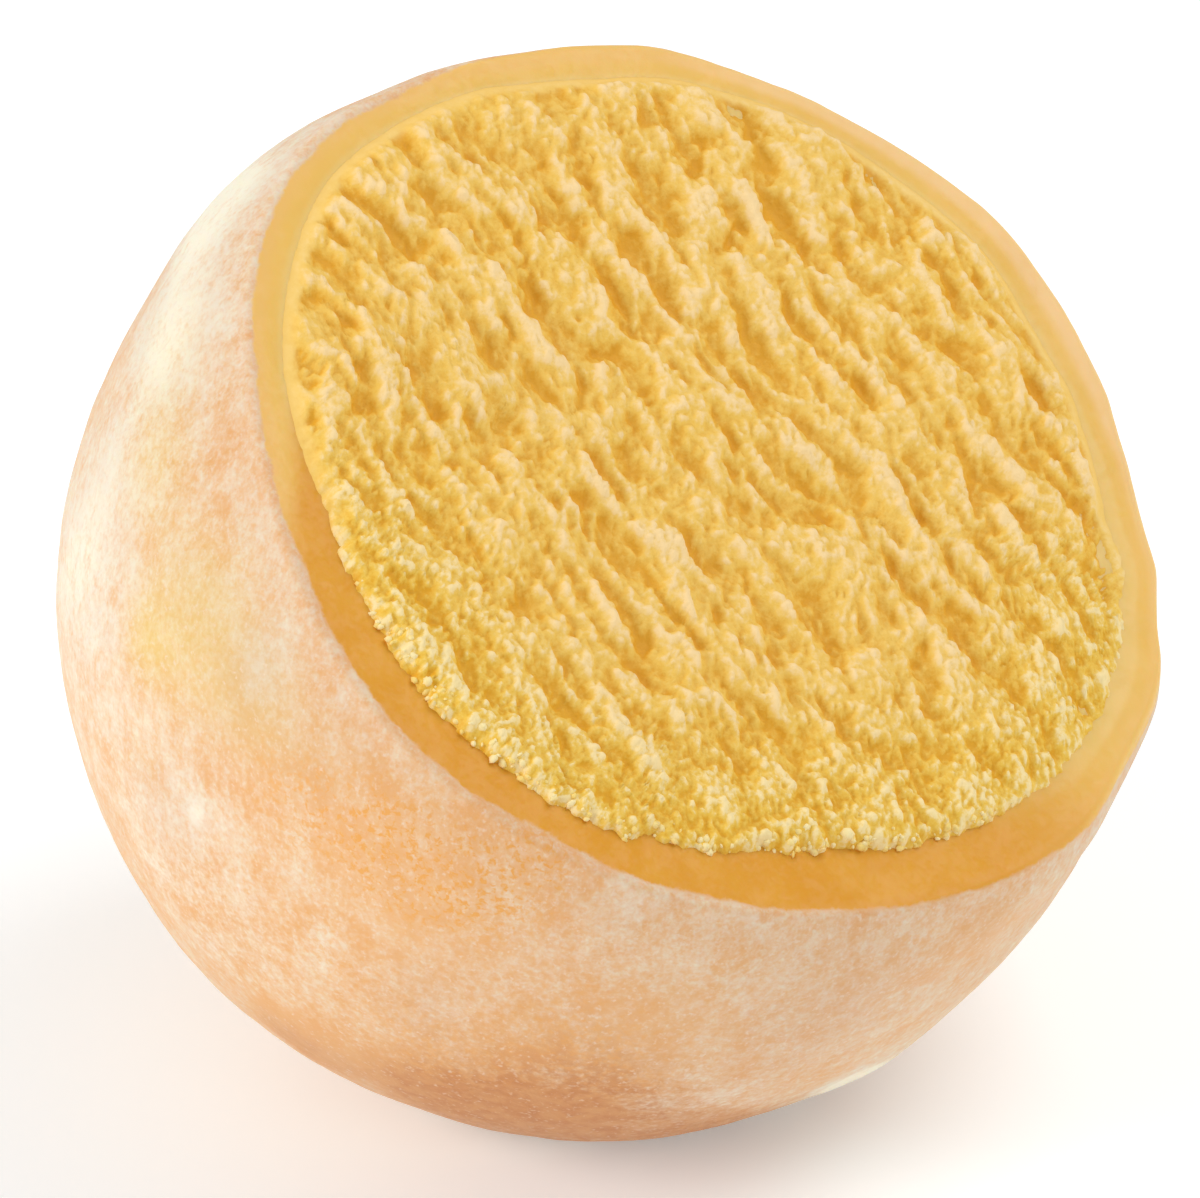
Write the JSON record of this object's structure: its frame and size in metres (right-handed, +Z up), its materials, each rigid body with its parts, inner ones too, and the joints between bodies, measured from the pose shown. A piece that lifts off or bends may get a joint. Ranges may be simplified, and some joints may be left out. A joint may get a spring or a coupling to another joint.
{
  "type": "mango mochi ice cream, cut open",
  "caption": "Soft rice-dough ball filled with mango ice cream, with a slanting slice taken off that shows the scraped yellow filling inside its thin skin.",
  "frame": {"origin": "middle of the flat spot that the ball rests on, straight under the ball's centre", "axes": "+Z up from the surface it rests on; the cut face looks towards -Y and up, 36.2 degrees away from straight up; +X to the right of someone who looks at the cut from the front"},
  "size_m": [0.042, 0.0417, 0.038],
  "materials": {
    "rice_dough": "soft, slightly translucent peach-orange rice dough, dusted with pale starch powder, smooth and moist where it is cut",
    "ice_cream": "scraped mango-yellow ice cream, crumbly and matt, with pale grains on its crests and deeper orange-yellow hollows"
  },
  "bodies": {
    "root": {"mochi_skin": "rice_dough", "mango_ice_cream": "ice_cream"}
  },
  "joints": []
}
